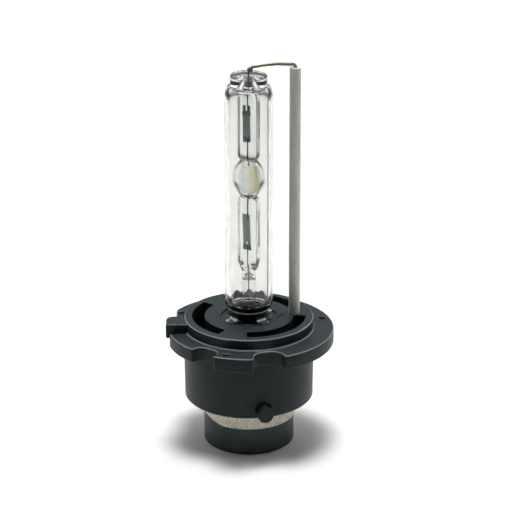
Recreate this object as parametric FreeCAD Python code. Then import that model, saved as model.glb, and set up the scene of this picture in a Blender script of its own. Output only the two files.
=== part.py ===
import FreeCAD, Part
import math
import os

# A gas-discharge headlight bulb, millimetres.
# Z is the bulb's axis. z = 0 is the top face of the base's flange, which seats on the lamp holder.
# +X points to the side where the ceramic tube carries the return wire down to the base.

os.makedirs("parts", exist_ok=True)
V = FreeCAD.Vector

# Flange and raised disc of the base
flange_r = 16.0
flange_thick = 2.8
flange_low_r = 15.3          # the arc between the key tab and the first notch
flange_edge = 0.3
disc_r = 12.15
disc_z = 2.2
disc_edge = 0.35
disc_foot = 0.4

# Body of the base, slightly drafted towards the rear
body_top_r = 12.3
body_low_r = 12.1
body_z = -13.84
body_chamfer = 0.4

# Shallow seat in the middle of the disc, for the ring that the burner's clamp is welded to
seat_r = 5.35
seat_edge = 0.1
seat_z = 1.6
web_z = -0.6                 # underside of the seat

# Arc-shaped core-outs in the disc: start and end angle in degrees
slot_in_r = 8.35
slot_out_r = 10.7
slot_floor_z = -9.0
slots = ((26.0, 118.0), (142.5, 238.7), (267.7, 359.0))

# Notches in the flange: middle angle, width, floor radius, corner radius, mouth radius
notches = ((236.5, 4.9, 13.1, 1.6, 0.45), (284.5, 5.8, 12.75, 2.4, 0.6))

# Relieved left edge of the flange and the key tab that stands on it
relief_x = -13.8
relief_y = (-3.8, 9.0)
tab_x = (-15.55, -11.5)
tab_y = (-3.8, 0.3)
tab_z = (-0.9, 1.85)
tab_corner = 1.5
tab_edge = 0.2

# Three seating bosses on the flange
boss_r = 0.6
boss_h = 0.4
boss_edge = 0.12
boss_root = 0.5
boss_ring_r = 14.5
boss_angles = (16.5, 152.5, 253.0)

# Blank insert mark beside the seat
mark_size = (0.95, 3.7, 0.12)
mark_ring_r = 6.0
mark_angle = 346.0

# Two bayonet lugs low on the body, each under a sunk relief
lug_r = 1.5
lug_root_r = body_low_r - body_chamfer
lug_face_r = 14.0
lug_face_edge = 0.15
lug_z = -12.45
lug_angles = (283.4, 103.4)
relief_r = 1.62
relief_rise = 0.25
relief_floor_r = 11.0

# Ceramic tube and the path of the return wire
tube_x, tube_y = 8.55, 1.35
tube_r = 1.075
tube_bore_r = 0.42
tube_z = (-3.4, 50.6)
tube_ring_r = math.hypot(tube_x, tube_y)
tube_angle = math.degrees(math.atan2(tube_y, tube_x))
wire_r = 0.3
wire_start_z = 50.15
wire_rise = (51.0, 0.45)     # height of the corner above the splice and its bend radius
wire_span = ((2.6, 51.28, 4.0), (5.2, 51.4, 6.0), (7.7, 51.2, 1.5))
wire_drop = (51.25, 0.6)
wire_jog = (0.6, 1.6)
wire_jog_bend = 0.8
tube_edge = 0.08

# Rear insulator: column inside the body, ring seat, tower and the well round the centre pin
core_r = 6.95
core_top_z = -0.65
ring_r = 8.6
ring_in_r = 8.2
ring_z = (-17.57, body_z)
tower_r = 8.5
tower_z = -22.8
tower_edge = 0.4
shoulder_top_z = -16.6       # the tower's shoulder rises beside the ring and ends in a ramp
shoulder_angles = (170.0, 236.0)
ramp_angle = 12.0
well_r = 6.3
well_edge = 0.25
ring_edge = 0.1
well_floor_z = -9.5

# Room inside the base where the return wire meets the contact ring's strap
lead_room_z = -7.0
strap_t = 0.3
strap_w = 1.5
strap_gap = 0.1
room_w = 2.0
room_low_gap = 0.15
room_high_gap = 0.75
strap_r = math.sqrt(ring_in_r ** 2 - (strap_w / 2) ** 2) - strap_t
strap_z = (-16.6, -9.4)
wire_end_z = -11.6
wire_end_r = strap_r + strap_t + wire_r
wire_weld = (0.3, 0.9, 1.1)
wire_weld_low = 0.3          # how far the weld reaches below the wire's end

# Centre contact pin
pin_r = 1.5
pin_bore_r = 1.0
pin_root_r = 1.75
pin_head_r = 2.0
pin_z = (-21.4, -7.4)
pin_head_h = 0.9
pin_tip = 0.5
pin_tip_edge = 0.35
pin_tip_bore_r = 0.35
pin_bead_r = 0.75

# Outer quartz bulb
bulb_r = 4.52
bulb_in_r = 3.5
bulb_low_z = 4.1
bulb_rim_r = 3.2
shoulder_z = 46.95
neck_r = 3.37
neck_z = (47.7, 50.0)
neck_edge = 0.25
neck_root = 0.2
shoulder_round = 0.8
shoulder_in_round = 1.0
cone_r = (2.0, 1.7, 0.9)     # the hollow's cone under the neck
cone_z = (47.3, 47.9, 49.1)
lead_gap = 0.05
low_round = 1.5
low_in_round = 1.2
low_floor_z = (4.5, 5.3, 6.02)
rim_round = 0.6
foot_neck_r = 2.85
foot_neck_in_r = 1.9
foot_neck_z = -5.0
foot_neck_top = (3.7, 0.5)
foot_neck_root = 0.2

# Arc tube: bulb-shaped chamber between two flat pinches with tubular stems
arc_z = 29.75
arc_side = ((1.3, -3.8), (2.05, -2.65), (2.75, -1.3), (3.0, 0), (2.84, 1.5), (2.3, 2.95), (1.3, 3.8))
chamber_r = 1.22
chamber_half = 3.35
pinch_w = 3.9
pinch_t = 2.4
pinch_turn = -26.0           # the flat faces look a little to the left of -Y
pinch_edge = 0.55
low_pinch_z = (12.0, 26.3)
high_pinch_z = (33.2, 46.4)
stem_r = 1.3
stem_bore_r = 0.9
stem_low_z = -6.5
stem_high_z = 48.57
stem_taper = 0.34
stem_end_gap = 0.3           # glass between a pinch and the round end of its stem's bore

# Metal parts of the burner
electrode_r = 0.15
electrode_tip = 0.06
gap_z = (27.45, 31.85)
foil_w = 1.5
foil_t = 0.05
foil_shift = -0.27           # both foils lie a little to the left of the axis
low_foil_z = (15.7, 22.7)
low_foil_lean = 2.0
high_foil_z = (36.8, 43.9)
foil_slit = (-0.4, 0.3, 1.1) # left edge, width and depth of the slit between the upper prongs
foil_lap = 1.0
lead_r = 0.15
foil_off = electrode_r + foil_t / 2
lead_off = foil_off - lead_r - foil_t / 2
lead_top_z = 50.95

# Clamp that holds the outer bulb, and the ring that it is welded to
sleeve_r = 3.1
sleeve_wall = 0.25
sleeve_z = (-5.2, 3.8)
foot_angles = (39.5, 129.5, 219.5, 309.5)
foot_w = 2.1
foot_t = 0.25
foot_end_r = 5.05
foot_bend = 1.1
foot_sag = 0.32              # how far the bend's middle stands off its corner, as a share
foot_root = 0.05
foot_corner = 0.5
foot_weld_r = 0.32
foot_weld_h = 0.07
foot_weld_ring_r = 4.5
holder_in_r = 3.3
holder_r = 5.25
holder_t = 0.3

# Salts, droplet, splice and clearances
salt_offset = (-0.16, 0.06, 0.3)
mercury_r = 0.3
mercury_at = (-0.96, -0.2, -2.0)
splice_r = 0.5
splice_shift = 0.2
splice_z = 50.55
splice_gap = 0.03
sleeve_gap = 0.05
tube_gap = 0.02
wire_gap = 0.1


def save(shape, node):
    shape.exportStep("parts/" + node + ".step")
    print(node, "solids", len(shape.Solids), "volume", round(shape.Volume, 3))


def at(radius, angle, z=0.0):
    a = math.radians(angle)
    return V(radius * math.cos(a), radius * math.sin(a), z)


def cylinder(radius, low_z, high_z, x=0.0, y=0.0):
    return Part.makeCylinder(radius, high_z - low_z, V(x, y, low_z))


def turned(shape, angle):
    """The shape, made along +X, turned about the bulb's axis."""
    out = shape.copy()
    out.rotate(V(0, 0, 0), V(0, 0, 1), angle)
    return out


def line(a, b):
    return Part.LineSegment(V(a[0], 0, a[1]), V(b[0], 0, b[1])).toShape()


def revolved(edges):
    """A solid of revolution from edges in the (radius, z) half-plane."""
    return Part.Face(Part.Wire(edges)).revolve(V(0, 0, 0), V(0, 0, 1), 360)


def profile(*steps):
    """Edges through (radius, z) points. A step of three numbers rounds that corner with a radius."""
    pts = [V(s[0], 0, s[1]) for s in steps]
    n = len(pts)
    ends = []
    for i, s in enumerate(steps):
        round_r = s[2] if len(s) > 2 else 0
        if not round_r:
            ends.append((pts[i], None, pts[i]))
            continue
        to_last = (pts[i - 1] - pts[i]).normalize()
        to_next = (pts[(i + 1) % n] - pts[i]).normalize()
        half = math.acos(max(-1, min(1, to_last * to_next))) / 2
        cut = round_r / math.tan(half)
        middle = (to_last + to_next).normalize() * (round_r / math.sin(half) - round_r)
        ends.append((pts[i] + to_last * cut, pts[i] + middle, pts[i] + to_next * cut))
    edges = []
    for i, (start, mid, stop) in enumerate(ends):
        if mid is not None:
            edges.append(Part.Arc(start, mid, stop).toShape())
        follow = ends[(i + 1) % n][0]
        if stop.distanceToPoint(follow) > 1e-6:
            edges.append(Part.LineSegment(stop, follow).toShape())
    return edges


def ring_sector(in_r, out_r, start, stop, low_z, high_z):
    """Part of a ring between two angles."""
    mid = (start + stop) / 2
    outer = Part.Arc(at(out_r, start, low_z), at(out_r, mid, low_z), at(out_r, stop, low_z))
    inner = Part.Arc(at(in_r, stop, low_z), at(in_r, mid, low_z), at(in_r, start, low_z))
    sides = [Part.LineSegment(at(out_r, stop, low_z), at(in_r, stop, low_z)),
             Part.LineSegment(at(in_r, start, low_z), at(out_r, start, low_z))]
    edges = [outer.toShape(), sides[0].toShape(), inner.toShape(), sides[1].toShape()]
    return Part.Face(Part.Wire(edges)).extrude(V(0, 0, high_z - low_z))


def upright_edges(shape, keep):
    """Edges parallel to Z whose foot point passes the test."""
    found = []
    for e in shape.Edges:
        if len(e.Vertexes) != 2:
            continue
        a, b = e.Vertexes[0].Point, e.Vertexes[1].Point
        if math.hypot(a.x - b.x, a.y - b.y) < 1e-6 and keep(a):
            found.append(e)
    return found


def flange_plate():
    """The flange: a disc with a lower arc, a relieved side and two rounded notches."""
    low = -flange_thick
    plate = cylinder(flange_r, low, 0).cut(cylinder(body_low_r, low, 0))
    plate = plate.cut(ring_sector(flange_low_r, flange_r + 1, 180, notches[0][0], low, 0))
    side = Part.makeBox(5, relief_y[1] - relief_y[0], flange_thick,
                        V(relief_x - 5, relief_y[0], low))
    plate = plate.cut(side)
    for angle, width, floor_r, corner, mouth in notches:
        tool = Part.makeBox(6, width, flange_thick, V(floor_r, -width / 2, low))
        tool = tool.makeFillet(corner, upright_edges(tool, lambda p: p.x < floor_r + 1))
        plate = plate.cut(turned(tool, angle))
        lip = upright_edges(plate, lambda p: abs(p.distanceToPoint(at(
            math.hypot(p.x, p.y), angle, p.z)) - width / 2) < 0.35 and math.hypot(p.x, p.y) > 15)
        plate = plate.makeFillet(mouth, lip)
    rim = [e for e in plate.Edges if abs(e.BoundBox.ZLength) < 1e-6]
    return plate.makeFillet(flange_edge, rim)


def key_tab():
    """The tab that keys the base to one way round, with a rounded outer corner."""
    tab = Part.makeBox(tab_x[1] - tab_x[0], tab_y[1] - tab_y[0], tab_z[1] - tab_z[0],
                       V(tab_x[0], tab_y[0], tab_z[0]))
    corner = upright_edges(tab, lambda p: p.x < tab_x[0] + 0.1 and p.y > tab_y[1] - 0.1)
    tab = tab.makeFillet(tab_corner, corner)
    outer = [e for e in tab.Edges if e.BoundBox.XMax < tab_x[1] - 0.1
             or (e.BoundBox.ZMin > tab_z[1] - 0.1 and e.BoundBox.XMin < tab_x[1] - 0.1)]
    return tab.makeFillet(tab_edge, outer)


def body_shell():
    """Disc, seat and cylindrical body in one turned form, open below for the rear insulator."""
    foot_r = disc_r + disc_foot
    outline = profile(
        (sleeve_r + sleeve_gap, web_z), (sleeve_r + sleeve_gap, seat_z), (seat_r, seat_z),
        (seat_r, disc_z, seat_edge), (disc_r, disc_z, disc_edge), (disc_r, 0, disc_foot),
        (foot_r, 0), (foot_r, -flange_thick / 2), (body_top_r, -flange_thick / 2),
        (body_top_r, -flange_thick), (body_low_r, body_z + body_chamfer),
        (body_low_r - body_chamfer, body_z), (core_r, body_z), (core_r, web_z))
    return revolved(outline)


def lug(angle):
    """One bayonet lug, standing out of the body."""
    pin = Part.makeCylinder(lug_r, lug_face_r - lug_root_r, V(lug_root_r, 0, lug_z), V(1, 0, 0))
    face = [e for e in pin.Edges if e.BoundBox.XMin > lug_face_r - 0.1]
    return turned(pin.makeChamfer(lug_face_edge, face), angle)


def lug_relief(angle):
    """The round relief sunk into the body above a lug."""
    tool = Part.makeCylinder(relief_r, 3, V(relief_floor_r, 0, lug_z + relief_rise), V(1, 0, 0))
    return turned(tool, angle)


def base_housing():
    """The moulded base: flange, keyed disc with arc core-outs, body and lugs."""
    base = body_shell().fuse([flange_plate(), key_tab()])
    for angle in lug_angles:
        base = base.cut(lug_relief(angle)).fuse(lug(angle))
    for angle in boss_angles:
        spot = at(boss_ring_r, angle)
        boss = cylinder(boss_r, -boss_root, boss_h, spot.x, spot.y)
        top = [e for e in boss.Edges if e.BoundBox.ZMin > boss_h - 0.01]
        base = base.fuse(boss.makeFillet(boss_edge, top))
    base = base.removeSplitter()
    for start, stop in slots:
        base = base.cut(ring_sector(slot_in_r, slot_out_r, start, stop, slot_floor_z, disc_z + 1))
    mark = Part.makeBox(mark_size[0], mark_size[1], mark_size[2] + 1,
                        V(mark_ring_r - mark_size[0] / 2, -mark_size[1] / 2, disc_z - mark_size[2]))
    base = base.cut(turned(mark, mark_angle))
    base = base.cut(cylinder(tube_r + tube_gap, tube_z[0], disc_z + 1, tube_x, tube_y))
    base = base.cut(cylinder(wire_r + wire_gap, lead_room_z - 0.5, tube_z[0], tube_x, tube_y))
    return base.cut(lead_room())


def lead_room():
    """A pocket in the rear of the base for the strap and the end of the return wire."""
    low_r = strap_r - room_low_gap
    room = Part.makeBox(tube_ring_r + room_high_gap - low_r, room_w, lead_room_z - body_z + 1,
                        V(low_r, -room_w / 2, body_z - 1))
    return turned(room, tube_angle)


def tower_shoulder(out_r):
    """The raised shoulder of the tower, with a ramp at its front end."""
    start, stop = shoulder_angles
    shoulder = ring_sector(ring_in_r, out_r, start, stop, ring_z[0], shoulder_top_z)
    tool = Part.makeBox(10, 10, 10, V(-5, -10, 0))
    tool.rotate(V(0, 0, 0), V(1, 0, 0), -ramp_angle)
    tool.translate(V(tower_r, 0, ring_z[0]))
    return shoulder.cut(turned(tool, stop))


def socket_core():
    """The rear insulator: it fills the base, carries the ring and surrounds the centre pin."""
    neck_room = sleeve_r + sleeve_gap
    outline = profile(
        (neck_room, core_top_z), (core_r, core_top_z), (core_r, body_z), (ring_in_r, body_z),
        (ring_in_r, ring_z[0]), (tower_r, ring_z[0]), (tower_r, tower_z, tower_edge),
        (well_r, tower_z, well_edge), (well_r, well_floor_z), (pin_root_r, well_floor_z),
        (pin_root_r, pin_z[1] - pin_head_h), (pin_head_r, pin_z[1] - pin_head_h),
        (pin_head_r, pin_z[1]), (neck_room, pin_z[1]))
    core = revolved(outline).fuse(tower_shoulder(tower_r)).removeSplitter()
    slot_w = strap_w + strap_gap
    slot = Part.makeBox(ring_r - strap_r, slot_w, body_z - ring_z[0],
                        V(strap_r, -slot_w / 2, ring_z[0]))
    return core.cut(turned(slot, tube_angle))


def contact_ring():
    """The ring contact round the root of the tower, cut away over the tower's shoulder."""
    ring = revolved(profile((ring_in_r, ring_z[0]), (ring_r, ring_z[0], ring_edge), (ring_r, ring_z[1]),
                            (ring_in_r, ring_z[1])))
    return ring.cut(tower_shoulder(ring_r + ring_edge))


def ring_strap():
    """A metal strap that runs up from inside the ring to the return wire."""
    strap = Part.makeBox(strap_t, strap_w, strap_z[1] - strap_z[0],
                         V(strap_r, -strap_w / 2, strap_z[0]))
    return turned(strap, tube_angle)


def strap_weld():
    """The weld between the strap and the end of the return wire."""
    nugget = Part.makeBox(*wire_weld, V(strap_r + strap_t, -wire_weld[1] / 2, wire_end_z - wire_weld_low))
    wire = cylinder(wire_r, wire_end_z, lead_room_z, wire_end_r, 0)
    return turned(nugget.cut(wire), tube_angle)


def centre_contact():
    """The tubular centre pin, closed at its tip apart from the hole for the lead."""
    outline = profile(
        (pin_bore_r, pin_z[1]), (pin_head_r, pin_z[1]), (pin_head_r, pin_z[1] - pin_head_h),
        (pin_root_r, pin_z[1] - pin_head_h), (pin_root_r, well_floor_z), (pin_r, well_floor_z),
        (pin_r, pin_z[0], pin_tip_edge), (pin_tip_bore_r, pin_z[0]), (pin_tip_bore_r, pin_z[0] + pin_tip),
        (pin_bore_r, pin_z[0] + pin_tip))
    return revolved(outline)


def centre_weld():
    """The weld that closes the pin's tip round the lead."""
    bead = Part.makeSphere(pin_bead_r, V(0, 0, pin_z[0] + pin_tip_edge))
    bead = bead.common(cylinder(pin_r, pin_z[0] - pin_r, pin_z[0]))
    plug = cylinder(pin_tip_bore_r, pin_z[0], pin_z[0] + pin_tip)
    return bead.fuse(plug).cut(lower_lead()).removeSplitter()


def holder_ring():
    """The metal ring in the seat that the clamp's feet are welded to."""
    return revolved(profile((holder_in_r, seat_z), (holder_r, seat_z), (holder_r, seat_z + holder_t),
                            (holder_in_r, seat_z + holder_t)))


def clamp_foot(angle):
    """One foot: it leaves the sleeve, bends outwards and lies on the holder ring."""
    land_z = seat_z + holder_t
    inner = sleeve_r - foot_root
    sag = foot_bend * foot_sag
    under = [V(inner, 0, land_z + foot_bend + foot_t), V(inner + sag, 0, land_z + sag),
             V(inner + foot_bend, 0, land_z), V(foot_end_r, 0, land_z)]
    over = [V(foot_end_r, 0, land_z + foot_t), V(inner + foot_bend, 0, land_z + foot_t),
            V(inner + sag + foot_t, 0, land_z + sag + foot_t),
            V(inner + foot_t + 2 * foot_root, 0, land_z + foot_bend + foot_t)]
    edges = [Part.Arc(*under[:3]).toShape(), Part.LineSegment(under[2], under[3]).toShape(),
             Part.LineSegment(under[3], over[0]).toShape(),
             Part.LineSegment(over[0], over[1]).toShape(), Part.Arc(*over[1:]).toShape(),
             Part.LineSegment(over[3], under[0]).toShape()]
    foot = Part.Face(Part.Wire(edges)).extrude(V(0, foot_w, 0))
    foot.translate(V(0, -foot_w / 2, 0))
    corners = upright_edges(foot, lambda p: p.x > foot_end_r - 0.01)
    return turned(foot.makeFillet(foot_corner, corners), angle)


def burner_clamp():
    """The metal sleeve that grips the outer bulb's foot, with its four welded feet."""
    sleeve = cylinder(sleeve_r, *sleeve_z)
    clamp = sleeve.fuse([clamp_foot(a) for a in foot_angles])
    return clamp.cut(cylinder(sleeve_r - sleeve_wall, *sleeve_z)).removeSplitter()


def foot_welds():
    """Four spot welds through the clamp's feet."""
    top = seat_z + holder_t + foot_t
    places = [at(foot_weld_ring_r, a) for a in foot_angles]
    return Part.makeCompound([cylinder(foot_weld_r, top, top + foot_weld_h, p.x, p.y)
                              for p in places])


def outer_bulb():
    """The quartz outer bulb: a tube closed over the arc tube at both ends."""
    edges = profile(
        (foot_neck_in_r, foot_neck_z), (foot_neck_in_r, *foot_neck_top),
        (stem_r, low_floor_z[0]), (stem_r, low_floor_z[1]),
        (bulb_in_r, low_floor_z[2], low_in_round), (bulb_in_r, shoulder_z, shoulder_in_round),
        (cone_r[0], cone_z[0]), (cone_r[1], cone_z[1]), (cone_r[2], stem_high_z),
        (lead_r + lead_gap, cone_z[2]), (lead_r + lead_gap, neck_z[1]),
        (neck_r, neck_z[1], neck_edge), (neck_r, neck_z[0], neck_root),
        (bulb_r, neck_z[0], shoulder_round), (bulb_r, low_floor_z[0], low_round),
        (bulb_rim_r, bulb_low_z, rim_round), (foot_neck_r, bulb_low_z, foot_neck_root),
        (foot_neck_r, foot_neck_z))
    return revolved(edges)


def arc_body():
    """The arc tube's outer form without its hollows."""
    points = [(r, arc_z + up) for r, up in arc_side]
    side = Part.BSplineCurve()
    side.interpolate([V(r, 0, z) for r, z in points])
    low, high = (0, points[0][1]), (0, points[-1][1])
    bulge = revolved([line(low, points[0]), side.toShape(), line(points[-1], high),
                      line(high, low)])
    parts = [bulge, cylinder(stem_r, stem_low_z, low_pinch_z[0] + 2)]
    stem_end = profile((0, high_pinch_z[1] - 2), (stem_r, high_pinch_z[1] - 2),
                       (stem_r, stem_high_z - stem_taper), (stem_bore_r, stem_high_z),
                       (0, stem_high_z))
    parts.append(revolved(stem_end))
    for low_z, high_z in (low_pinch_z, high_pinch_z):
        bar = Part.makeBox(pinch_w, pinch_t, high_z - low_z, V(-pinch_w / 2, -pinch_t / 2, low_z))
        bar = bar.makeFillet(pinch_edge, bar.Edges)
        parts.append(turned(bar, pinch_turn))
    return parts[0].fuse(parts[1:])


def chamber():
    """The discharge chamber inside the arc tube."""
    ball = Part.makeSphere(chamber_r)
    stretch = FreeCAD.Matrix()
    stretch.scale(1, 1, chamber_half / chamber_r)
    room = ball.transformGeometry(stretch)
    room.translate(V(0, 0, arc_z))
    return room


def stem_bores():
    """The bores of both stems, each with a round end at its pinch."""
    low_end = low_pinch_z[0] - stem_end_gap
    high_end = high_pinch_z[1] + stem_end_gap
    low = cylinder(stem_bore_r, stem_low_z, low_end - stem_bore_r)
    low = low.fuse(Part.makeSphere(stem_bore_r, V(0, 0, low_end - stem_bore_r)))
    high = cylinder(stem_bore_r, high_end + stem_bore_r, stem_high_z)
    high = high.fuse(Part.makeSphere(stem_bore_r, V(0, 0, high_end + stem_bore_r)))
    return [low, high]


def arc_tube():
    """The quartz arc tube, sealed round its electrodes, foils and leads."""
    metal = [lower_electrode(), upper_electrode(), lower_foil(), upper_foil(),
             lower_lead(), upper_lead()]
    tube = arc_body().cut([chamber()] + stem_bores())
    return tube.cut(metal).removeSplitter()


def in_pinch(x, y, z):
    """A point in the pinches' own directions: x across the foil, y through it."""
    a = math.radians(pinch_turn)
    return V(x * math.cos(a) - y * math.sin(a), x * math.sin(a) + y * math.cos(a), z)


def rod(radius, off, low_z, high_z):
    """An upright wire, set off the axis through the foil's thickness."""
    foot = in_pinch(0, off, low_z)
    return cylinder(radius, low_z, high_z, foot.x, foot.y)


def electrode(low_z, high_z, tip_z):
    pin = rod(electrode_r, 0, low_z, high_z)
    tip = [e for e in pin.Edges if abs(e.BoundBox.ZMin - tip_z) < 0.01 and e.BoundBox.ZLength < 0.01]
    return pin.makeFillet(electrode_tip, tip)


def lower_electrode():
    return electrode(low_foil_z[1] - foil_lap, gap_z[0], gap_z[0])


def upper_electrode():
    return electrode(gap_z[1], high_foil_z[0] + foil_lap, gap_z[1])


def foil(low_z, high_z, lean=0.0, slit=None):
    """A thin molybdenum foil that seals the current's way through a pinch."""
    middle = V(foil_shift, foil_off, (low_z + high_z) / 2)
    sheet = Part.makeBox(foil_w, foil_t, high_z - low_z,
                         middle - V(foil_w / 2, foil_t / 2, (high_z - low_z) / 2))
    sheet.rotate(middle, V(0, 1, 0), -lean)
    if slit:
        left, width, depth = slit
        sheet = sheet.cut(Part.makeBox(width, 1, depth, V(left, foil_off - 0.5, high_z - depth)))
    return turned(sheet, pinch_turn)


def lower_foil():
    return foil(*low_foil_z, lean=low_foil_lean)


def upper_foil():
    return foil(*high_foil_z, slit=foil_slit)


def lower_lead():
    """The live lead, from the lower foil down to the tip of the centre contact."""
    return rod(lead_r, lead_off, pin_z[0] - 0.1, low_foil_z[0] + foil_lap)


def upper_lead():
    """The lead from the upper foil out through the top of the bulb."""
    return rod(lead_r, lead_off, high_foil_z[1] - foil_lap, lead_top_z)


def halide_deposit():
    """The salts that settle in a crescent against the chamber's wall."""
    room = chamber()
    away = room.copy()
    away.translate(V(*salt_offset))
    crescent = room.cut(away)
    return crescent.cut(lower_electrode())


def mercury_bead():
    """A droplet of mercury on the chamber's wall."""
    return Part.makeSphere(mercury_r, V(*mercury_at) + V(0, 0, arc_z)).common(chamber())


def wire_path():
    """The return wire's centre line: runs joined by tangent arcs."""
    along = V(tube_x, tube_y, 0) * (1 / tube_ring_r)
    start_r = lead_r + splice_gap + wire_r
    corners = ((start_r, wire_start_z, 0), (start_r, *wire_rise), *wire_span,
               (tube_ring_r, *wire_drop), (tube_ring_r, lead_room_z - wire_jog[0], wire_jog_bend),
               (wire_end_r, lead_room_z - wire_jog[1], wire_jog_bend), (wire_end_r, wire_end_z, 0))
    return rounded_path([(along * r + V(0, 0, z), round_r) for r, z, round_r in corners])


def rounded_path(corners):
    """Straight runs between points, with a tangent arc of the given radius at each corner."""
    ends = []
    for i, (p, r) in enumerate(corners):
        if not r:
            ends.append((p, None, p))
            continue
        back = (corners[i - 1][0] - p).normalize()
        on = (corners[i + 1][0] - p).normalize()
        half = math.acos(max(-1, min(1, back * on))) / 2
        cut = r / math.tan(half)
        mid = p + (back + on).normalize() * (r / math.sin(half) - r)
        ends.append((p + back * cut, mid, p + on * cut))
    edges = []
    for i, (start, mid, stop) in enumerate(ends):
        if mid is not None:
            edges.append(Part.Arc(start, mid, stop).toShape())
        if i + 1 < len(ends):
            edges.append(Part.LineSegment(stop, ends[i + 1][0]).toShape())
    return Part.Wire(edges)


def return_wire():
    """The wire from the top of the bulb, over and down the ceramic tube, to the ring's strap."""
    path = wire_path()
    start = path.Edges[0].Vertexes[0].Point
    section = Part.Wire(Part.makeCircle(wire_r, start, V(0, 0, 1)))
    return path.makePipeShell([section], True, False)


def lead_splice():
    """The weld between the upper lead and the return wire."""
    along = V(tube_x, tube_y, 0) * (1 / tube_ring_r)
    middle = along * splice_shift
    bead = Part.makeSphere(splice_r, V(middle.x, middle.y, splice_z))
    return bead.cut([upper_lead(), return_wire()])


def ceramic_tube():
    """The ceramic tube that insulates the return wire beside the bulb."""
    tube = cylinder(tube_r, tube_z[0], tube_z[1], tube_x, tube_y)
    ends = [e for e in tube.Edges if e.BoundBox.ZLength < 0.01]
    tube = tube.makeFillet(tube_edge, ends)
    return tube.cut(cylinder(tube_bore_r, tube_z[0], tube_z[1], tube_x, tube_y))


pieces = {
    "base_housing": base_housing, "socket_core": socket_core, "contact_ring": contact_ring,
    "ring_strap": ring_strap, "strap_weld": strap_weld, "centre_contact": centre_contact,
    "centre_weld": centre_weld, "holder_ring": holder_ring, "burner_clamp": burner_clamp,
    "foot_welds": foot_welds, "outer_bulb": outer_bulb, "arc_tube": arc_tube,
    "halide_deposit": halide_deposit, "mercury_bead": mercury_bead,
    "lower_electrode": lower_electrode, "upper_electrode": upper_electrode,
    "lower_foil": lower_foil, "upper_foil": upper_foil, "lower_lead": lower_lead,
    "upper_lead": upper_lead, "return_wire": return_wire, "lead_splice": lead_splice,
    "ceramic_tube": ceramic_tube,
}
for name, make in pieces.items():
    save(make(), name)
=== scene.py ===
import math

import bmesh
import bpy
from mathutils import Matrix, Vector


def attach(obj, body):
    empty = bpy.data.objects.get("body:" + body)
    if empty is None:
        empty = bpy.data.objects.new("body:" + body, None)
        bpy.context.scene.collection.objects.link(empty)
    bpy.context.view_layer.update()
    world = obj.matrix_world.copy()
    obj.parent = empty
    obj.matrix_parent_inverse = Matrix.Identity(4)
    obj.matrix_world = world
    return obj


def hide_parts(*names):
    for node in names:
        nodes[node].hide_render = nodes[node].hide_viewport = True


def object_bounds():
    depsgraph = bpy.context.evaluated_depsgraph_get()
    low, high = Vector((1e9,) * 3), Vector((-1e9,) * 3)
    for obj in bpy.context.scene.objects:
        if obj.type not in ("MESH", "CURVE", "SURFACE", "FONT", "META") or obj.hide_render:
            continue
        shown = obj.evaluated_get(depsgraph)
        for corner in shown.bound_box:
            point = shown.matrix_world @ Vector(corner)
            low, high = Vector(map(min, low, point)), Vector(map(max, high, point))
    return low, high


# Gas-discharge headlight bulb. The CAD frame is in metres, z = 0 is the seat of the base's flange
# and +X is the side of the ceramic tube.
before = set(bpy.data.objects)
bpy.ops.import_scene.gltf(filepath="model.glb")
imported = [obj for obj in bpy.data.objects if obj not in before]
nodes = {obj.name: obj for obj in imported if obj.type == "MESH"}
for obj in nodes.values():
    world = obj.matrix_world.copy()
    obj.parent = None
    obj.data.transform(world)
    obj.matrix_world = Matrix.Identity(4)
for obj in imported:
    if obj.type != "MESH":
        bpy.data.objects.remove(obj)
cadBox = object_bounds()
mm = 0.001
sameSpot = 1e-6     # metres: points nearer than this are one
print("frame loaded:", len(nodes), "nodes")


# small helpers

def toLinear(hexColour):
    parts = [int(hexColour[i:i + 2], 16) / 255 for i in (1, 3, 5)]
    return [c / 12.92 if c < 0.04045 else ((c + 0.055) / 1.055) ** 2.4 for c in parts] + [1.0]


def addNode(tree, kind, settings=None, links=None):
    node = tree.nodes.new(kind)
    for name, value in (settings or {}).items():
        if isinstance(name, int) or name in node.inputs:
            node.inputs[name].default_value = value
        else:
            setattr(node, name, value)
    for name, source in (links or {}).items():
        tree.links.new(source, node.inputs[name])
    return node


def newMaterial(name):
    material = bpy.data.materials.new(name)
    material.use_nodes = True
    material.node_tree.nodes.clear()
    return material, material.node_tree


def perMm(size):
    # texture scale that repeats about every size millimetres
    return 1 / (size * mm)


def setRamp(node, stops):
    ramp = node.color_ramp
    while len(ramp.elements) < len(stops):
        ramp.elements.new(0.5)
    for element, (place, colour) in zip(ramp.elements, stops):
        element.position = place
        element.color = toLinear(colour) if isinstance(colour, str) else (colour,) * 3 + (1,)
    return node.outputs["Color"]


def startPiece(name):
    bpy.ops.object.select_all(action="DESELECT")
    bpy.ops.mesh.primitive_plane_add(size=mm)
    piece = bpy.context.object
    piece.name = piece.data.name = name
    bpy.ops.object.mode_set(mode="EDIT")
    bpy.ops.mesh.merge(type="CENTER")
    return piece


def spinOutline(name, outline, steps=48):
    # one point is drawn out along the outline (radius, height) and spun round the bulb's axis
    piece = startPiece(name)
    bpy.ops.transform.translate(value=(outline[0][0] * mm, 0, outline[0][1] * mm))
    for (r0, z0), (r1, z1) in zip(outline, outline[1:]):
        bpy.ops.mesh.extrude_region_move(
            TRANSFORM_OT_translate={"value": ((r1 - r0) * mm, 0, (z1 - z0) * mm)})
    bpy.ops.mesh.select_all(action="SELECT")
    bpy.ops.mesh.spin(steps=steps, angle=math.tau, center=(0, 0, 0), axis=(0, 0, 1))
    bpy.ops.mesh.select_all(action="SELECT")
    bpy.ops.mesh.remove_doubles(threshold=sameSpot)
    bpy.ops.mesh.normals_make_consistent(inside=False)
    bpy.ops.object.mode_set(mode="OBJECT")
    return piece


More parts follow.
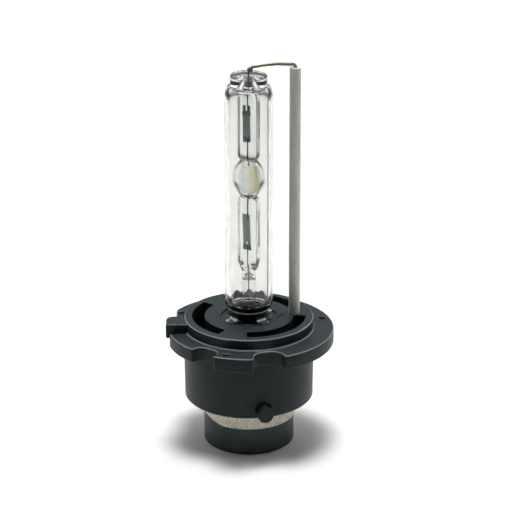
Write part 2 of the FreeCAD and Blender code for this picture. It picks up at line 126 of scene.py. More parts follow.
def applyModifier(piece, kind, **settings):
    bpy.ops.object.select_all(action="DESELECT")
    piece.select_set(True)
    bpy.context.view_layer.objects.active = piece
    modifier = piece.modifiers.new(kind.title(), kind)
    for name, value in settings.items():
        setattr(modifier, name, value)
    bpy.ops.object.modifier_apply(modifier=modifier.name)


def smoothPiece(piece, degrees=None):
    bpy.ops.object.select_all(action="DESELECT")
    piece.select_set(True)
    bpy.context.view_layer.objects.active = piece
    if degrees is None:
        bpy.ops.object.shade_smooth()
    else:
        bpy.ops.object.shade_smooth_by_angle(angle=math.radians(degrees))


def finishPiece(piece, material, slotName, *standsFor):
    bpy.ops.object.select_all(action="DESELECT")
    piece.select_set(True)
    bpy.context.view_layer.objects.active = piece
    bpy.ops.object.transform_apply(location=True, rotation=True, scale=True)
    piece.data.materials.clear()
    piece.data.materials.append(material)
    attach(piece, "root")
    if standsFor:
        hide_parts(*standsFor)


# camera, floor and light

# lens, distances and aim in mm, tilt in degrees
camera = {"lens": 199.53, "distance": 530, "tilt": 21.2, "aim": (1.348, 0, 14.138), "nearest": 10}

aimX, aimY, aimZ = camera["aim"]
tilt = math.radians(camera["tilt"])
away, up = camera["distance"] * math.cos(tilt), camera["distance"] * math.sin(tilt)
bpy.ops.object.camera_add(location=[v * mm for v in (aimX, aimY - away, aimZ + up)],
                          rotation=(math.pi / 2 - tilt, 0, 0))
bpy.context.object.data.lens = camera["lens"]
bpy.context.object.data.clip_start = camera["nearest"] * mm
bpy.context.scene.camera = bpy.context.object

studio = {
    "floor": "#f4f4f2",
    "floorSize": 6.0,      # metres
    "darkest": 0.02,       # room light on the camera's side
    "brightest": 0.9,      # and behind the bulb, on a white card above the horizon
    "turning": (0.3, 0.8),      # where along Y the room goes from one to the other
    "card": [(0.1, 0.08), (0.22, 1.0), (0.45, 1.0), (0.6, 0.08)],    # how bright it is with height
    "lights": {            # place and aim in mm, size in mm, watts, spread in degrees
        "backdropLight": ((0, 150, 420), (0, 150, -22.8), (340, 500), 0.49, 26),
        "leftSoftbox": ((-300, 80, 260), (0, 0, 25), (300, 300), 0.35, 180),
        "rightSoftbox": ((300, 80, 260), (0, 0, 25), (260, 300), 0.35, 180),
        "topSoftbox": ((0, 260, 430), (0, 0, 0), (360, 160), 0.3, 180),
    },
}


def makeStudio():
    floorMaterial, tree = newMaterial("matte white studio floor")
    shader = addNode(tree, "ShaderNodeBsdfPrincipled",
                     {"Base Color": toLinear(studio["floor"]), "Roughness": 0.9,
                      "Specular IOR Level": 0.1})
    addNode(tree, "ShaderNodeOutputMaterial", links={"Surface": shader.outputs["BSDF"]})
    bpy.ops.object.select_all(action="DESELECT")
    bpy.ops.mesh.primitive_plane_add(size=studio["floorSize"], location=(0, 0, cadBox[0].z))
    floor = bpy.context.object
    floor.name = "floor"
    floor.data.materials.append(floorMaterial)
    for name, (place, aim, size, watts, spread) in studio["lights"].items():
        bpy.ops.object.light_add(type="AREA", location=[v * mm for v in place])
        lamp = bpy.context.object
        lamp.name = name
        lamp.data.shape = "RECTANGLE"
        lamp.data.size, lamp.data.size_y = (v * mm for v in size)
        lamp.data.energy = watts
        lamp.data.spread = math.radians(spread)
        away = lamp.location - Vector([v * mm for v in aim])
        lamp.rotation_euler = away.to_track_quat("Z", "Y").to_euler()
    world = bpy.data.worlds.new("studio")
    bpy.context.scene.world = world
    world.use_nodes = True
    tree = world.node_tree
    tree.nodes.clear()
    coords = addNode(tree, "ShaderNodeTexCoord")
    split = addNode(tree, "ShaderNodeSeparateXYZ", links={0: coords.outputs["Generated"]})
    room = addNode(tree, "ShaderNodeMapRange",
                   {"From Min": studio["turning"][0], "From Max": studio["turning"][1],
                    "To Min": studio["darkest"], "To Max": studio["brightest"]},
                   {"Value": split.outputs["Y"]})
    card = addNode(tree, "ShaderNodeValToRGB", links={"Fac": split.outputs["Z"]})
    shaded = addNode(tree, "ShaderNodeMath", {"operation": "MULTIPLY"})
    tree.links.new(room.outputs["Result"], shaded.inputs[0])
    tree.links.new(setRamp(card, studio["card"]), shaded.inputs[1])
    light = addNode(tree, "ShaderNodeBackground", links={"Strength": shaded.outputs["Value"]})
    addNode(tree, "ShaderNodeOutputWorld", links={"Surface": light.outputs["Background"]})


makeStudio()
bpy.context.scene.view_settings.view_transform = "Standard"
print("studio ready")


# materials

def makeMouldedPlastic(name, dark, light):
    # glass-filled PPS, injection moulded: charcoal, satin, a fine grain that breaks the highlights,
    # with painted highlights along the upper roundings and painted light on the faces that look up
    material, tree = newMaterial(name)
    coords = addNode(tree, "ShaderNodeTexCoord").outputs["Object"]
    flow = addNode(tree, "ShaderNodeTexNoise", {"Scale": perMm(5), "Detail": 4.0}, {"Vector": coords})
    tone = addNode(tree, "ShaderNodeValToRGB", links={"Fac": flow.outputs["Fac"]})
    colour = setRamp(tone, [(0.3, dark), (0.7, light)])
    # the grit of the mould is finer than this, which is as fine as still shows
    grain = addNode(tree, "ShaderNodeTexNoise", {"Scale": perMm(0.22), "Detail": 3.0}, {"Vector": coords})
    normal = addNode(tree, "ShaderNodeNewGeometry").outputs["Normal"]
    upward = addNode(tree, "ShaderNodeSeparateXYZ", links={"Vector": normal}).outputs["Z"]
    height = addNode(tree, "ShaderNodeSeparateXYZ", links={"Vector": coords}).outputs["Z"]

    # painted highlight on the roundings: it follows how far the surface leans back from upright, and
    # stays off the lower body
    edgeHighlightRamp = addNode(tree, "ShaderNodeValToRGB", links={"Fac": upward})
    edgeHighlightBand = setRamp(edgeHighlightRamp, [(0.0, 0.0), (0.22, 0.0), (0.45, 1.0), (0.8, 1.0), (0.95, 0.0), (1.0, 0.0)])
    onFlange = addNode(tree, "ShaderNodeMapRange", {"From Min": -5 * mm, "From Max": -4 * mm},
                       {"Value": height})
    edgeHighlightMask = addNode(tree, "ShaderNodeMath", {"operation": "MULTIPLY"})
    tree.links.new(edgeHighlightBand, edgeHighlightMask.inputs[0])
    tree.links.new(onFlange.outputs["Result"], edgeHighlightMask.inputs[1])
    # painted light: faces that look straight up are made a paler grey, as if lit from above
    topLightMask = addNode(tree, "ShaderNodeMapRange", {"From Min": 0.9, "From Max": 1.0, "To Max": 0.35},
                   {"Value": upward})
    withTopLight = addNode(tree, "ShaderNodeMixRGB", {"Color2": toLinear("#3d4346")},
                    {"Fac": topLightMask.outputs["Result"], "Color1": colour})
    # painted highlight: a pale grey mixed in on the upper roundings
    paintedHighlight = addNode(tree, "ShaderNodeMixRGB", {"Color2": toLinear("#7c8588")},
                     {"Fac": edgeHighlightMask.outputs["Value"], "Color1": withTopLight.outputs["Color"]})

    sheen = addNode(tree, "ShaderNodeMapRange", {"To Min": 0.4, "To Max": 0.5},
                    {"Value": flow.outputs["Fac"]})
    bump = addNode(tree, "ShaderNodeBump", {"Strength": 0.25, "Distance": 0.02 * mm},
                   {"Height": grain.outputs["Fac"]})
    shader = addNode(tree, "ShaderNodeBsdfPrincipled", {"IOR": 1.5, "Specular IOR Level": 0.2},
                     {"Base Color": paintedHighlight.outputs["Color"], "Roughness": sheen.outputs["Result"],
                      "Normal": bump.outputs["Normal"]})
    addNode(tree, "ShaderNodeOutputMaterial", links={"Surface": shader.outputs["BSDF"]})
    return material


def makeQuartz(name, tint, ripple):
    # drawn fused quartz: clear, with faint lengthwise draw lines that bend the light
    material, tree = newMaterial(name)
    coords = addNode(tree, "ShaderNodeTexCoord").outputs["Object"]
    stretch = addNode(tree, "ShaderNodeMapping", {"Scale": (1, 1, 0.04)}, {"Vector": coords})
    draw = addNode(tree, "ShaderNodeTexNoise", {"Scale": perMm(0.9), "Detail": 2.0},
                   {"Vector": stretch.outputs["Vector"]})
    bump = addNode(tree, "ShaderNodeBump", {"Strength": ripple, "Distance": 0.05 * mm},
                   {"Height": draw.outputs["Fac"]})
    shader = addNode(tree, "ShaderNodeBsdfPrincipled",
                     {"Base Color": toLinear(tint), "Roughness": 0.0, "IOR": 1.458,
                      "Transmission Weight": 1.0}, {"Normal": bump.outputs["Normal"]})
    addNode(tree, "ShaderNodeOutputMaterial", links={"Surface": shader.outputs["BSDF"]})
    return material


def makePaintedRimLine():
    # a painted highlight: matt, near-white stuff for the thin ring along the outer bulb's lower corner,
    # standing in for the bright line that light draws there
    material, tree = newMaterial("painted highlight along the bulb's lower corner")
    coords = addNode(tree, "ShaderNodeTexCoord").outputs["Object"]
    rimMottle = addNode(tree, "ShaderNodeTexNoise", {"Scale": perMm(0.8), "Detail": 4.0}, {"Vector": coords})
    tone = addNode(tree, "ShaderNodeValToRGB", links={"Fac": rimMottle.outputs["Fac"]})
    colour = setRamp(tone, [(0.35, "#b9bec1"), (0.65, "#f4f6f7")])
    shader = addNode(tree, "ShaderNodeBsdfPrincipled", {"Roughness": 0.35, "IOR": 1.458},
                     {"Base Color": colour})
    addNode(tree, "ShaderNodeOutputMaterial", links={"Surface": shader.outputs["BSDF"]})
    return material


def makeMetal(name, dark, light, roughness, grainMm, stretch=(1, 1, 1)):
    # bare metal, mottled between two tones; drawn wire has its grain stretched along Z
    material, tree = newMaterial(name)
    coords = addNode(tree, "ShaderNodeTexCoord").outputs["Object"]
    drawn = addNode(tree, "ShaderNodeMapping", {"Scale": stretch}, {"Vector": coords})
    grain = addNode(tree, "ShaderNodeTexNoise", {"Scale": perMm(grainMm), "Detail": 4.0},
                    {"Vector": drawn.outputs["Vector"]})
    tone = addNode(tree, "ShaderNodeValToRGB", links={"Fac": grain.outputs["Fac"]})
    colour = setRamp(tone, [(0.35, dark), (0.65, light)])
    rough = addNode(tree, "ShaderNodeMapRange", {"To Min": roughness[0], "To Max": roughness[1]},
                    {"Value": grain.outputs["Fac"]})
    bump = addNode(tree, "ShaderNodeBump", {"Strength": 0.2, "Distance": 0.01 * mm},
                   {"Height": grain.outputs["Fac"]})
    shader = addNode(tree, "ShaderNodeBsdfPrincipled", {"Metallic": 1.0},
                     {"Base Color": colour, "Roughness": rough.outputs["Result"],
                      "Normal": bump.outputs["Normal"]})
    addNode(tree, "ShaderNodeOutputMaterial", links={"Surface": shader.outputs["BSDF"]})
    return material


def makeClampSteel():
    # spring steel: dark on the sleeve, and painted bright on the feet so that they glint: a painted
    # highlight
    material, tree = newMaterial("dark spring steel with painted glints on its feet")
    coords = addNode(tree, "ShaderNodeTexCoord").outputs["Object"]
    flat = addNode(tree, "ShaderNodeVectorMath", {"operation": "MULTIPLY", 1: (1, 1, 0)}, {0: coords})
    radius = addNode(tree, "ShaderNodeVectorMath", {"operation": "LENGTH"}, {0: flat.outputs["Vector"]})
    grain = addNode(tree, "ShaderNodeTexNoise", {"Scale": perMm(0.6), "Detail": 4.0}, {"Vector": coords})
    edge = addNode(tree, "ShaderNodeMath", {"operation": "MULTIPLY_ADD", 1: 0.6 * mm},
                   {0: grain.outputs["Fac"], 2: radius.outputs["Value"]})
    # painted highlight: beyond this radius, on the feet, the steel is made bright so that it glints
    paintedHighlight = addNode(tree, "ShaderNodeMapRange", {"From Min": 3.8 * mm, "From Max": 4.8 * mm},
                     {"Value": edge.outputs["Value"]})
    colour = addNode(tree, "ShaderNodeMixRGB",
                     {"Color1": toLinear("#454a4c"), "Color2": toLinear("#c6cbcd")},
                     {"Fac": paintedHighlight.outputs["Result"]})
    shader = addNode(tree, "ShaderNodeBsdfPrincipled", {"Metallic": 1.0, "Roughness": 0.24},
                     {"Base Color": colour.outputs["Color"]})
    addNode(tree, "ShaderNodeOutputMaterial", links={"Surface": shader.outputs["BSDF"]})
    return material


def makeFoilMetal():
    # etched molybdenum: matt grey, heat-tinted a dark blue-grey where the wires are welded on
    material, tree = newMaterial("etched molybdenum foil")
    coords = addNode(tree, "ShaderNodeTexCoord").outputs["Object"]
    grain = addNode(tree, "ShaderNodeTexNoise", {"Scale": perMm(0.3), "Detail": 4.0}, {"Vector": coords})
    tone = addNode(tree, "ShaderNodeValToRGB", links={"Fac": grain.outputs["Fac"]})
    colour = setRamp(tone, [(0.35, "#929a95"), (0.65, "#aeb6b1")])
    height = addNode(tree, "ShaderNodeSeparateXYZ", links={"Vector": coords}).outputs["Z"]
    edge = addNode(tree, "ShaderNodeMath", {"operation": "MULTIPLY_ADD", 1: 0.8 * mm},
                   {0: grain.outputs["Fac"], 2: height})
    along = addNode(tree, "ShaderNodeMapRange", {"From Min": 15.4 * mm, "From Max": 45.4 * mm},
                    {"Value": edge.outputs["Value"]})
    # one end of the lower foil and both ends of the upper one, as shares of that height
    heat = addNode(tree, "ShaderNodeValToRGB", links={"Fac": along.outputs["Result"]})
    tinted = setRamp(heat, [(0.05, 0.75), (0.06, 0.0), (0.7, 0.0), (0.71, 0.6), (0.765, 0.6),
                            (0.775, 0.0), (0.895, 0.0), (0.905, 0.6)])
    mixed = addNode(tree, "ShaderNodeMixRGB", {"Color2": toLinear("#4d555b")},
                    {"Color1": colour, "Fac": tinted})
    shader = addNode(tree, "ShaderNodeBsdfPrincipled", {"Metallic": 1.0, "Roughness": 0.45},
                     {"Base Color": mixed.outputs["Color"]})
    addNode(tree, "ShaderNodeOutputMaterial", links={"Surface": shader.outputs["BSDF"]})
    return material


def makeCeramic():
    # unglazed steatite, fired: grey-beige, matt, with a soft paler edge and faint clouding
    material, tree = newMaterial("steatite ceramic")
    coords = addNode(tree, "ShaderNodeTexCoord").outputs["Object"]
    speck = addNode(tree, "ShaderNodeTexNoise", {"Scale": perMm(0.5), "Detail": 5.0}, {"Vector": coords})
    tone = addNode(tree, "ShaderNodeValToRGB", links={"Fac": speck.outputs["Fac"]})
    colour = setRamp(tone, [(0.28, "#dcdccb"), (0.45, "#eaebdc"), (0.75, "#f2f3e6")])
    bump = addNode(tree, "ShaderNodeBump", {"Strength": 0.12, "Distance": 0.02 * mm},
                   {"Height": speck.outputs["Fac"]})
    shader = addNode(tree, "ShaderNodeBsdfPrincipled", {"Roughness": 0.42, "Sheen Weight": 0.6},
                     {"Base Color": colour, "Normal": bump.outputs["Normal"]})
    addNode(tree, "ShaderNodeOutputMaterial", links={"Surface": shader.outputs["BSDF"]})
    return material


def makeSalts():
    # iodide salts frozen on the chamber's wall: a chalky cream coat on one side that thins out
    # to a milky veil on the other
    material, tree = newMaterial("iodide salts")
    coords = addNode(tree, "ShaderNodeTexCoord").outputs["Object"]
    patch = addNode(tree, "ShaderNodeTexNoise", {"Scale": perMm(1.2), "Detail": 4.0}, {"Vector": coords})
    split = addNode(tree, "ShaderNodeSeparateXYZ", links={0: coords})
    side = addNode(tree, "ShaderNodeMapRange", {"From Min": -0.9 * mm, "From Max": 0.6 * mm},
                   {"Value": split.outputs["X"]})
    coat = addNode(tree, "ShaderNodeMath", {"operation": "MULTIPLY_ADD", 1: 0.5, 2: -0.1},
                   {0: patch.outputs["Fac"]})
    coat = addNode(tree, "ShaderNodeMath", {"operation": "MULTIPLY_ADD", 1: 0.75},
                   {0: side.outputs["Result"], 2: coat.outputs["Value"]})
    tone = addNode(tree, "ShaderNodeValToRGB", links={"Fac": coat.outputs["Value"]})
    colour = setRamp(tone, [(0.1, "#fdfdfb"), (0.5, "#f9f7ee"), (0.9, "#f5f1e0")])
    cover = addNode(tree, "ShaderNodeMapRange", {"From Min": 0.05, "From Max": 0.6, "To Min": 0.2,
                                                 "To Max": 1.0}, {"Value": coat.outputs["Value"]})
    shader = addNode(tree, "ShaderNodeBsdfPrincipled",
                     {"Roughness": 0.3, "IOR": 1.01, "Transmission Weight": 0.98},
                     {"Base Color": colour, "Alpha": cover.outputs["Result"]})
    addNode(tree, "ShaderNodeOutputMaterial", links={"Surface": shader.outputs["BSDF"]})
    return material


moulding = makeMouldedPlastic("glass-filled PPS moulding", "#141f20", "#1c2829")
# painted light: the tower's moulding is paler than the rest of the base, to make up for the shade it
# stands in
towerMouldingPaintedPaler = makeMouldedPlastic("glass-filled PPS tower painted paler for its shade", "#2f3b3c", "#3b4748")
outerQuartz = makeQuartz("drawn quartz of the outer bulb", "#f3f4f3", 0.012)
innerQuartz = makeQuartz("pressed quartz of the arc tube", "#fcfdfc", 0.08)

# plated strip, tarnished: dull and yellowish grey, mottled like a used contact
ringMetal = makeMetal("tinned nickel silver", "#9d9a8c", "#c3bfb0", (0.42, 0.6), 0.5)
# a clean liquid drop: it mirrors the chamber round it
mercury = makeMetal("liquid mercury", "#a9abab", "#c9cbcb", (0.12, 0.25), 0.4)
# pressed and phosphated: nearly as dark as the moulding, but with a metal's soft gleam
holderSteel = makeMetal("dark phosphated steel", "#3c4446", "#4d5557", (0.45, 0.6), 0.4)
clampSteel = makeClampSteel()
# pressed and blued: a dark mirror that picks out only the lamps
collarSteel = makeMetal("blued steel collar", "#2f3537", "#3d4447", (0.18, 0.28), 0.4)
# drawn wire, darkened by the heat of sealing: a black line in the glass
leadMetal = makeMetal("drawn molybdenum wire", "#2c2a28", "#474340", (0.3, 0.45), 0.2, (1, 1, 0.1))
foilMetal = makeFoilMetal()
# drawn wire, oxidised: straw-brown with a thin bright line along its top
wireMetal = makeMetal("oxidised nickel wire", "#6d665a", "#97917f", (0.25, 0.4), 0.3, (1, 1, 0.1))
# ground rod: plain dark grey
tungstenMetal = makeMetal("thoriated tungsten", "#4c4c4e", "#6c6c6e", (0.3, 0.45), 0.2)
# melted and set: grey, softly uneven
weldMetal = makeMetal("weld bead", "#6c7071", "#8d9192", (0.3, 0.5), 0.25)
paintedRimLine = makePaintedRimLine()
ceramic = makeCeramic()
salts = makeSalts()
print("materials ready")

plainFinishes = {
    "base_housing": moulding, "socket_core": towerMouldingPaintedPaler, "contact_ring": ringMetal,
    "ring_strap": ringMetal, "strap_weld": weldMetal, "centre_contact": ringMetal,
    "centre_weld": weldMetal, "holder_ring": holderSteel, "burner_clamp": clampSteel,
    "foot_welds": weldMetal, "halide_deposit": salts, "mercury_bead": mercury,
    "lower_electrode": tungstenMetal, "upper_electrode": tungstenMetal, "lower_foil": foilMetal,
    "upper_foil": foilMetal, "lower_lead": leadMetal, "upper_lead": leadMetal,
    "return_wire": wireMetal, "lead_splice": weldMetal, "ceramic_tube": ceramic,
    "outer_bulb": outerQuartz, "arc_tube": innerQuartz,
}
for nodeName, material in plainFinishes.items():
    nodes[nodeName].material_slots[0].material = material


# outer bulb

outerBulb = {
    "steps": 70,
    # radius and height along the outer wall from the foot up, then down the inner wall
    "skin": [(2.85, -5.0), (2.85, 3.6), (2.9, 3.85), (3.2, 3.97), (3.85, 4.05), (4.15, 4.2), (4.4, 4.6),
             (4.5, 5.2), (4.52, 6.5), (4.52, 20), (4.52, 33), (4.52, 45.0), (4.5, 46.2), (4.25, 47.0),
             (3.8, 47.5), (3.55, 47.58), (3.46, 47.64), (3.45, 47.75), (3.45, 49.2), (3.42, 49.5),
             (3.25, 49.6), (1.2, 49.58), (0.3, 49.58), (0.25, 49.5)],
    "hollow": [(0.25, 49.2), (0.35, 49.1), (0.6, 49.05), (0.75, 48.9), (1.3, 47.5), (1.6, 46.95),
               (2.2, 46.82), (2.85, 46.72), (3.2, 46.4), (3.4, 45.85), (3.48, 45.2), (3.5, 44.5),
               (3.5, 33), (3.5, 20), (3.5, 6.4), (3.42, 5.6), (3.2, 5.0), (2.8, 4.6), (2.4, 4.35),
               (2.1, 4.2), (1.95, 4.0), (1.9, 3.5), (1.9, -5.0)],
    # the hollow's floor rises in lobes at the back, between these radii and heights
    "lobes": {"count": 7, "behind": 0.3, "rise": 0.7, "radius": (2.2, 3.45), "height": (4.6, 5.6)},
}


def makeOuterBulb():
    outline = outerBulb["skin"] + outerBulb["hollow"]
    piece = spinOutline("quartzBulb", outline + [outline[0]], outerBulb["steps"])
    lobes = outerBulb["lobes"]
    (innermost, outermost), (lowest, highest) = lobes["radius"], lobes["height"]
    bpy.ops.object.mode_set(mode="EDIT")
    bpy.ops.mesh.select_all(action="DESELECT")
    mesh = bmesh.from_edit_mesh(piece.data)
    for vert in mesh.verts:
        radius, height = vert.co.xy.length / mm, vert.co.z / mm
        if innermost < radius < outermost and lowest < height < highest:
            angle = math.atan2(vert.co.x, vert.co.y)
            vert.select = math.cos(lobes["count"] * angle) > 0 and math.cos(angle) > lobes["behind"]
    mesh.select_flush_mode()
    bpy.ops.transform.translate(value=(0, 0, lobes["rise"] * mm))
    bpy.ops.object.mode_set(mode="OBJECT")
    applyModifier(piece, "SUBSURF", levels=2, render_levels=2)
    smoothPiece(piece)
    finishPiece(piece, outerQuartz, "outer_quartz", "outer_bulb")


makeOuterBulb()
print("outer bulb made")


# a thin white ring under the outer bulb, along the lower corner of its wall: a painted highlight

rim = {"radius": 3.92, "height": 4.0, "thick": 0.07, "steps": (96, 12)}


def makeRim():
    bpy.ops.object.select_all(action="DESELECT")
    bpy.ops.mesh.primitive_torus_add(
        major_segments=rim["steps"][0], minor_segments=rim["steps"][1], major_radius=rim["radius"] * mm,
        minor_radius=rim["thick"] * mm, location=(0, 0, rim["height"] * mm))
    piece = bpy.context.object
    piece.name = piece.data.name = "paintedRimHighlight"
    smoothPiece(piece)
    finishPiece(piece, paintedRimLine, "outer_quartz")


makeRim()
print("rim made")


# collar: the clamp's sleeve flares out between its feet

collar = {
    "steps": 64, "sharpest": 50,
    # radius and height, down the flare and back underneath
    "outline": [(3.0, 3.5), (3.2, 3.45), (3.3, 3.3), (3.36, 3.0), (3.48, 2.7), (3.7, 2.42), (3.95, 2.22),
                (4.2, 2.1), (4.45, 2.03), (4.5, 1.97), (4.4, 1.92), (3.6, 1.92), (3.0, 1.95)],
}


def makeCollar():
    outline = collar["outline"]
    piece = spinOutline("clampCollar", outline + [outline[0]], collar["steps"])
    applyModifier(piece, "SUBSURF", levels=1, render_levels=1)
    smoothPiece(piece, collar["sharpest"])
    finishPiece(piece, collarSteel, "clamp_steel")


makeCollar()
print("collar made")


# arc tube

arcTube = {
    "turn": -26,        # the pinches' flat faces look a little to the left
    "points": 24,       # in each ring
    "corner": {"radius": 0.55, "segments": 4},
    "longSide": 0.45,   # a pinch's sides are longer than this, the pieces of its corners shorter
    # rings from the bottom up: height, then a radius, or a pinch's width and thickness
    "skin": [(-6.5, 1.29), (-6.3, 1.29), (9.9, 1.29), (11.2, 1.3), (11.7, 1.31), (12.05, (3.7, 2.4)),
             (13.45, (3.9, 2.4)), (13.65, (3.9, 2.4)), (19.0, (3.9, 2.4)),
             (24.8, (3.9, 2.4)), (25.6, (3.82, 2.34)), (25.95, (3.5, 2.05)), (26.06, (3.0, 1.9)),
             (26.14, 1.42), (26.45, 1.62), (27.1, 2.02), (27.8, 2.42), (28.6, 2.8), (29.6, 3.0),
             (30.4, 2.97), (31.1, 2.84), (31.9, 2.55), (32.55, 2.16), (33.05, 1.7), (33.36, 1.4),
             (33.44, (3.0, 1.9)), (33.6, (3.5, 2.05)), (34.0, (3.82, 2.34)), (34.8, (3.9, 2.4)),
             (40.0, (3.9, 2.4)), (44.9, (3.9, 2.4)), (45.7, (3.7, 2.35)), (46.2, (3.0, 2.3)),
             (46.6, 1.3), (47.1, 1.15), (47.75, 1.15), (47.85, 1.12)],
    # the bores, from each open end inwards: height and radius
    "lowBore": [(-6.5, 0.92), (-6.3, 0.95), (0.0, 1.0), (9.5, 1.0), (9.8, 0.95), (9.95, 0.7),
                (10.05, 0.35), (10.15, 0.35), (10.25, 0.5), (10.4, 0.63), (10.65, 0.63), (10.85, 0.5),
                (10.95, 0.32), (11.1, 0.25), (12.4, 0.23), (12.6, 0.18)],
    "highBore": [(47.85, 0.92), (47.75, 0.88), (47.3, 0.8), (46.95, 0.5), (46.8, 0.25)],
    # beside the stem the lower pinch runs out in a thin edge
    "heel": {"height": 12.05, "beyond": 1.0, "thinned": 0.25},
    "chamber": {"radius": 1.45, "half": 3.35, "height": 29.75, "segments": 64, "rings": 48},
}


def selectHeight(height, reach=0.01):
    # all that lies within reach of one height, in mm
    bpy.ops.mesh.select_all(action="DESELECT")
    mesh = bmesh.from_edit_mesh(bpy.context.edit_object.data)
    for vert in mesh.verts:
        vert.select = abs(vert.co.z - height * mm) < reach * mm
    mesh.select_flush(True)
    return mesh


def addRing(height, size):
    # one ring of points; a round-cornered one is a plane with bevelled corners, its long sides
    # halved so that its points face those of a round one
    place, corner = (0, 0, height * mm), arcTube["corner"]
    if not isinstance(size, tuple):
        bpy.ops.mesh.primitive_circle_add(vertices=arcTube["points"], radius=size * mm, location=place)
        return
    bpy.ops.mesh.primitive_plane_add(size=mm, location=place)
    bpy.ops.transform.resize(value=(size[0], size[1], 1), center_override=place)
    bpy.ops.mesh.bevel(offset=corner["radius"] * mm, segments=corner["segments"], affect="VERTICES")
    selectHeight(height)
    bpy.ops.mesh.delete(type="ONLY_FACE")
    mesh = selectHeight(height)
    ring = [e for e in mesh.edges if e.select]
    bpy.ops.mesh.select_all(action="DESELECT")
    for edge in ring:
        edge.select = edge.calc_length() > arcTube["longSide"] * mm
    bmesh.update_edit_mesh(bpy.context.edit_object.data)
    bpy.ops.mesh.subdivide(number_cuts=1)


def ringsPiece(name, rings):
    piece = startPiece(name)
    bpy.ops.mesh.delete(type="VERT")
    for height, size in rings:
        addRing(height, size)
    bpy.ops.mesh.select_all(action="SELECT")
    bpy.ops.mesh.bridge_edge_loops(type="SINGLE")
    bpy.ops.object.mode_set(mode="OBJECT")
    return piece


def addEgg(size):
    # a sphere stretched along the bulb's axis
    bpy.ops.object.select_all(action="DESELECT")
    bpy.ops.mesh.primitive_uv_sphere_add(
        segments=size["segments"], ring_count=size["rings"], radius=mm,
        location=(0, 0, size["height"] * mm), scale=(size["radius"], size["radius"], size["half"]))
    bpy.ops.object.transform_apply(location=True, rotation=True, scale=True)
    return bpy.context.object


def sinkBore(mouth, bore):
    # the ring at one end is drawn inwards along the bore and closed with a fan of faces
    selectHeight(mouth[0])
    for (z0, r0), (z1, r1) in zip([mouth] + bore, bore):
        bpy.ops.mesh.extrude_edges_move(TRANSFORM_OT_translate={"value": (0, 0, (z1 - z0) * mm)})
        bpy.ops.transform.resize(value=(r1 / r0, r1 / r0, 1), center_override=(0, 0, z1 * mm))
    bpy.ops.mesh.edge_face_add()
    bpy.ops.mesh.poke()


def makeArcTube():
    piece = ringsPiece("quartzArcTube", arcTube["skin"])
    bpy.ops.object.mode_set(mode="EDIT")
    heel = arcTube["heel"]
    mesh = selectHeight(heel["height"])
    for vert in mesh.verts:
        vert.select = vert.select and abs(vert.co.x) > heel["beyond"] * mm
    mesh.select_flush_mode()
    bpy.ops.transform.resize(value=(1, heel["thinned"], 1), center_override=(0, 0, heel["height"] * mm))
    sinkBore(arcTube["skin"][0], arcTube["lowBore"])
    sinkBore(arcTube["skin"][-1], arcTube["highBore"])
    bpy.ops.mesh.select_all(action="SELECT")
    bpy.ops.mesh.normals_make_consistent(inside=False)
    bpy.ops.object.mode_set(mode="OBJECT")
    applyModifier(piece, "SUBSURF", levels=2, render_levels=2)
    addEgg(arcTube["chamber"])
    bpy.ops.object.mode_set(mode="EDIT")
    bpy.ops.mesh.select_all(action="SELECT")
    bpy.ops.mesh.flip_normals()     # its wall faces the gas inside
    bpy.ops.object.mode_set(mode="OBJECT")
    piece.select_set(True)
    bpy.context.view_layer.objects.active = piece
    bpy.ops.object.join()
    smoothPiece(piece)
    piece.rotation_euler.z = math.radians(arcTube["turn"])
    finishPiece(piece, innerQuartz, "inner_quartz", "arc_tube")


makeArcTube()
print("arc tube made")


# leads: thinner than their solids, which are thick enough to weld and measure

leads = {"radius": 0.11, "sides": 24, "sharpest": 40, "lower": (-21.5, 16.7), "upper": (42.9, 50.95)}


def makeLead(name, span, standsFor):
    bottom, top = span
    bpy.ops.object.select_all(action="DESELECT")
    bpy.ops.mesh.primitive_cylinder_add(
        vertices=leads["sides"], radius=leads["radius"] * mm, depth=(top - bottom) * mm,
        location=(0, 0, (bottom + top) / 2 * mm))
    piece = bpy.context.object
    piece.name = piece.data.name = name
    smoothPiece(piece, leads["sharpest"])
    finishPiece(piece, leadMetal, "lead_wire", standsFor)


makeLead("lowerLead", leads["lower"], "lower_lead")
makeLead("upperLead", leads["upper"], "upper_lead")
print("leads made")


# foils, with what spot welding has done to them

foils = {
    "turn": -26, "thick": 0.05, "off": 0.175, "across": (-1.02, 0.48), "cuts": (10, 40),
    # a foil's height from and to, how far it leans in degrees, and what is cut or burnt out of it:
    # each opening across and up
    "lower": {"up": (15.6, 22.7), "lean": 2.0, "openings": [((-0.48, -0.16), (16.8, 17.2))],
              # the foot spreads, by this share of the width, over this height
              "foot": {"share": 0.12, "height": 1.0, "steepness": 3}},
    "upper": {"up": (36.8, 43.9), "lean": 0.5,
              "openings": [((-0.28, 0.04), (37.1, 37.5)), ((-0.14, 0.04), (37.5, 38.0)),
                           ((-0.4, -0.1), (42.8, 44.0))],
              # an ear stands out on both edges
              "ear": {"height": 42.35, "half": 0.3, "reach": 0.2, "edge": 0.01}},
    # waves along it: how many radians per mm, how deep in mm, where they start
    "waves": [(2.2, 0.02, 0), (5.1, 0.008, 1)],
}


def cutOpenings(openings):
    bpy.ops.mesh.select_all(action="DESELECT")
    mesh = bmesh.from_edit_mesh(bpy.context.edit_object.data)
    for face in mesh.faces:
        spot = face.calc_center_median() / mm
        face.select = any(x0 < spot.x < x1 and z0 < spot.z < z1 for (x0, x1), (z0, z1) in openings)
    bpy.ops.mesh.delete(type="FACE")


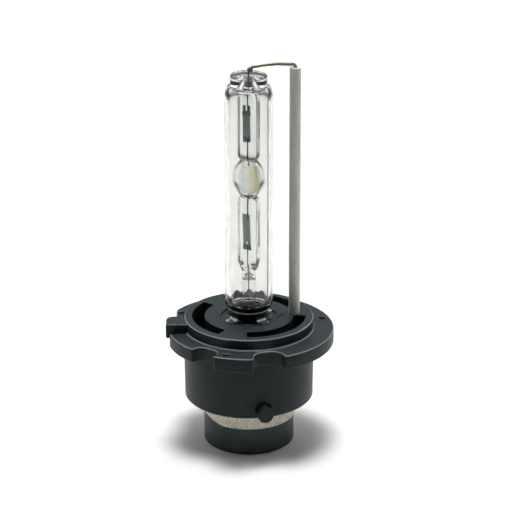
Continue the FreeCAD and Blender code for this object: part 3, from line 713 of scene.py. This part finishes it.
def shapeFoil(piece, size, middle):
    (left, right), (low, high) = foils["across"], size["up"]
    foot, ear = size.get("foot"), size.get("ear")
    mesh = bmesh.from_edit_mesh(piece.data)
    for vert in mesh.verts:
        x, z = vert.co.x / mm, vert.co.z / mm
        if foot:
            down = max(0, 1 - (z - low) / foot["height"])
            x += (x - (left + right) / 2) * foot["share"] * min(1, down * foot["steepness"])
        if ear and min(x - left, right - x) < ear["edge"]:
            near = max(0, 1 - abs(z - ear["height"]) / ear["half"])
            x += math.copysign(ear["reach"] * near, x - (left + right) / 2)
        vert.co.x = x * mm - (vert.co.z - middle[2]) * math.tan(math.radians(size["lean"]))
        vert.co.y += sum(math.sin(z * turns + start) * deep for turns, deep, start in foils["waves"]) * mm
    bmesh.update_edit_mesh(piece.data)


def makeFoil(name, size, standsFor):
    (left, right), (low, high) = foils["across"], size["up"]
    middle = [(left + right) / 2 * mm, foils["off"] * mm, (low + high) / 2 * mm]
    bpy.ops.object.select_all(action="DESELECT")
    bpy.ops.mesh.primitive_grid_add(
        x_subdivisions=foils["cuts"][0], y_subdivisions=foils["cuts"][1], size=mm, location=middle,
        rotation=(math.pi / 2, 0, 0))
    piece = bpy.context.object
    piece.name = piece.data.name = name
    bpy.ops.object.transform_apply(location=True, rotation=True, scale=True)
    bpy.ops.object.mode_set(mode="EDIT")
    bpy.ops.transform.resize(value=(right - left, 1, high - low), center_override=middle)
    cutOpenings(size["openings"])
    shapeFoil(piece, size, middle)
    bpy.ops.mesh.select_all(action="SELECT")
    bpy.ops.mesh.normals_make_consistent(inside=False)
    bpy.ops.object.mode_set(mode="OBJECT")
    applyModifier(piece, "SOLIDIFY", thickness=foils["thick"] * mm, offset=0)
    piece.rotation_euler.z = math.radians(foils["turn"])
    finishPiece(piece, foilMetal, "molybdenum_foil", standsFor)


makeFoil("lowerFoil", foils["lower"], "lower_foil")
makeFoil("upperFoil", foils["upper"], "upper_foil")
print("foils made")


# salts on the chamber's wall

saltFilm = {
    "radius": 1.475, "half": 3.385, "height": 29.75, "segments": 64, "rings": 48,
    "low": 27.4, "high": 31.9, "thick": 0.02,
}


def makeSaltFilm():
    piece = addEgg(saltFilm)
    piece.name = piece.data.name = "saltFilm"
    bpy.ops.object.mode_set(mode="EDIT")
    for height, below in ((saltFilm["low"], True), (saltFilm["high"], False)):
        bpy.ops.mesh.select_all(action="SELECT")
        bpy.ops.mesh.bisect(plane_co=(0, 0, height * mm), plane_no=(0, 0, 1), clear_inner=below,
                            clear_outer=not below)
    bpy.ops.object.mode_set(mode="OBJECT")
    applyModifier(piece, "SOLIDIFY", thickness=saltFilm["thick"] * mm, offset=0)
    smoothPiece(piece)
    finishPiece(piece, salts, "halide_salts", "halide_deposit")


makeSaltFilm()
print("salts made")
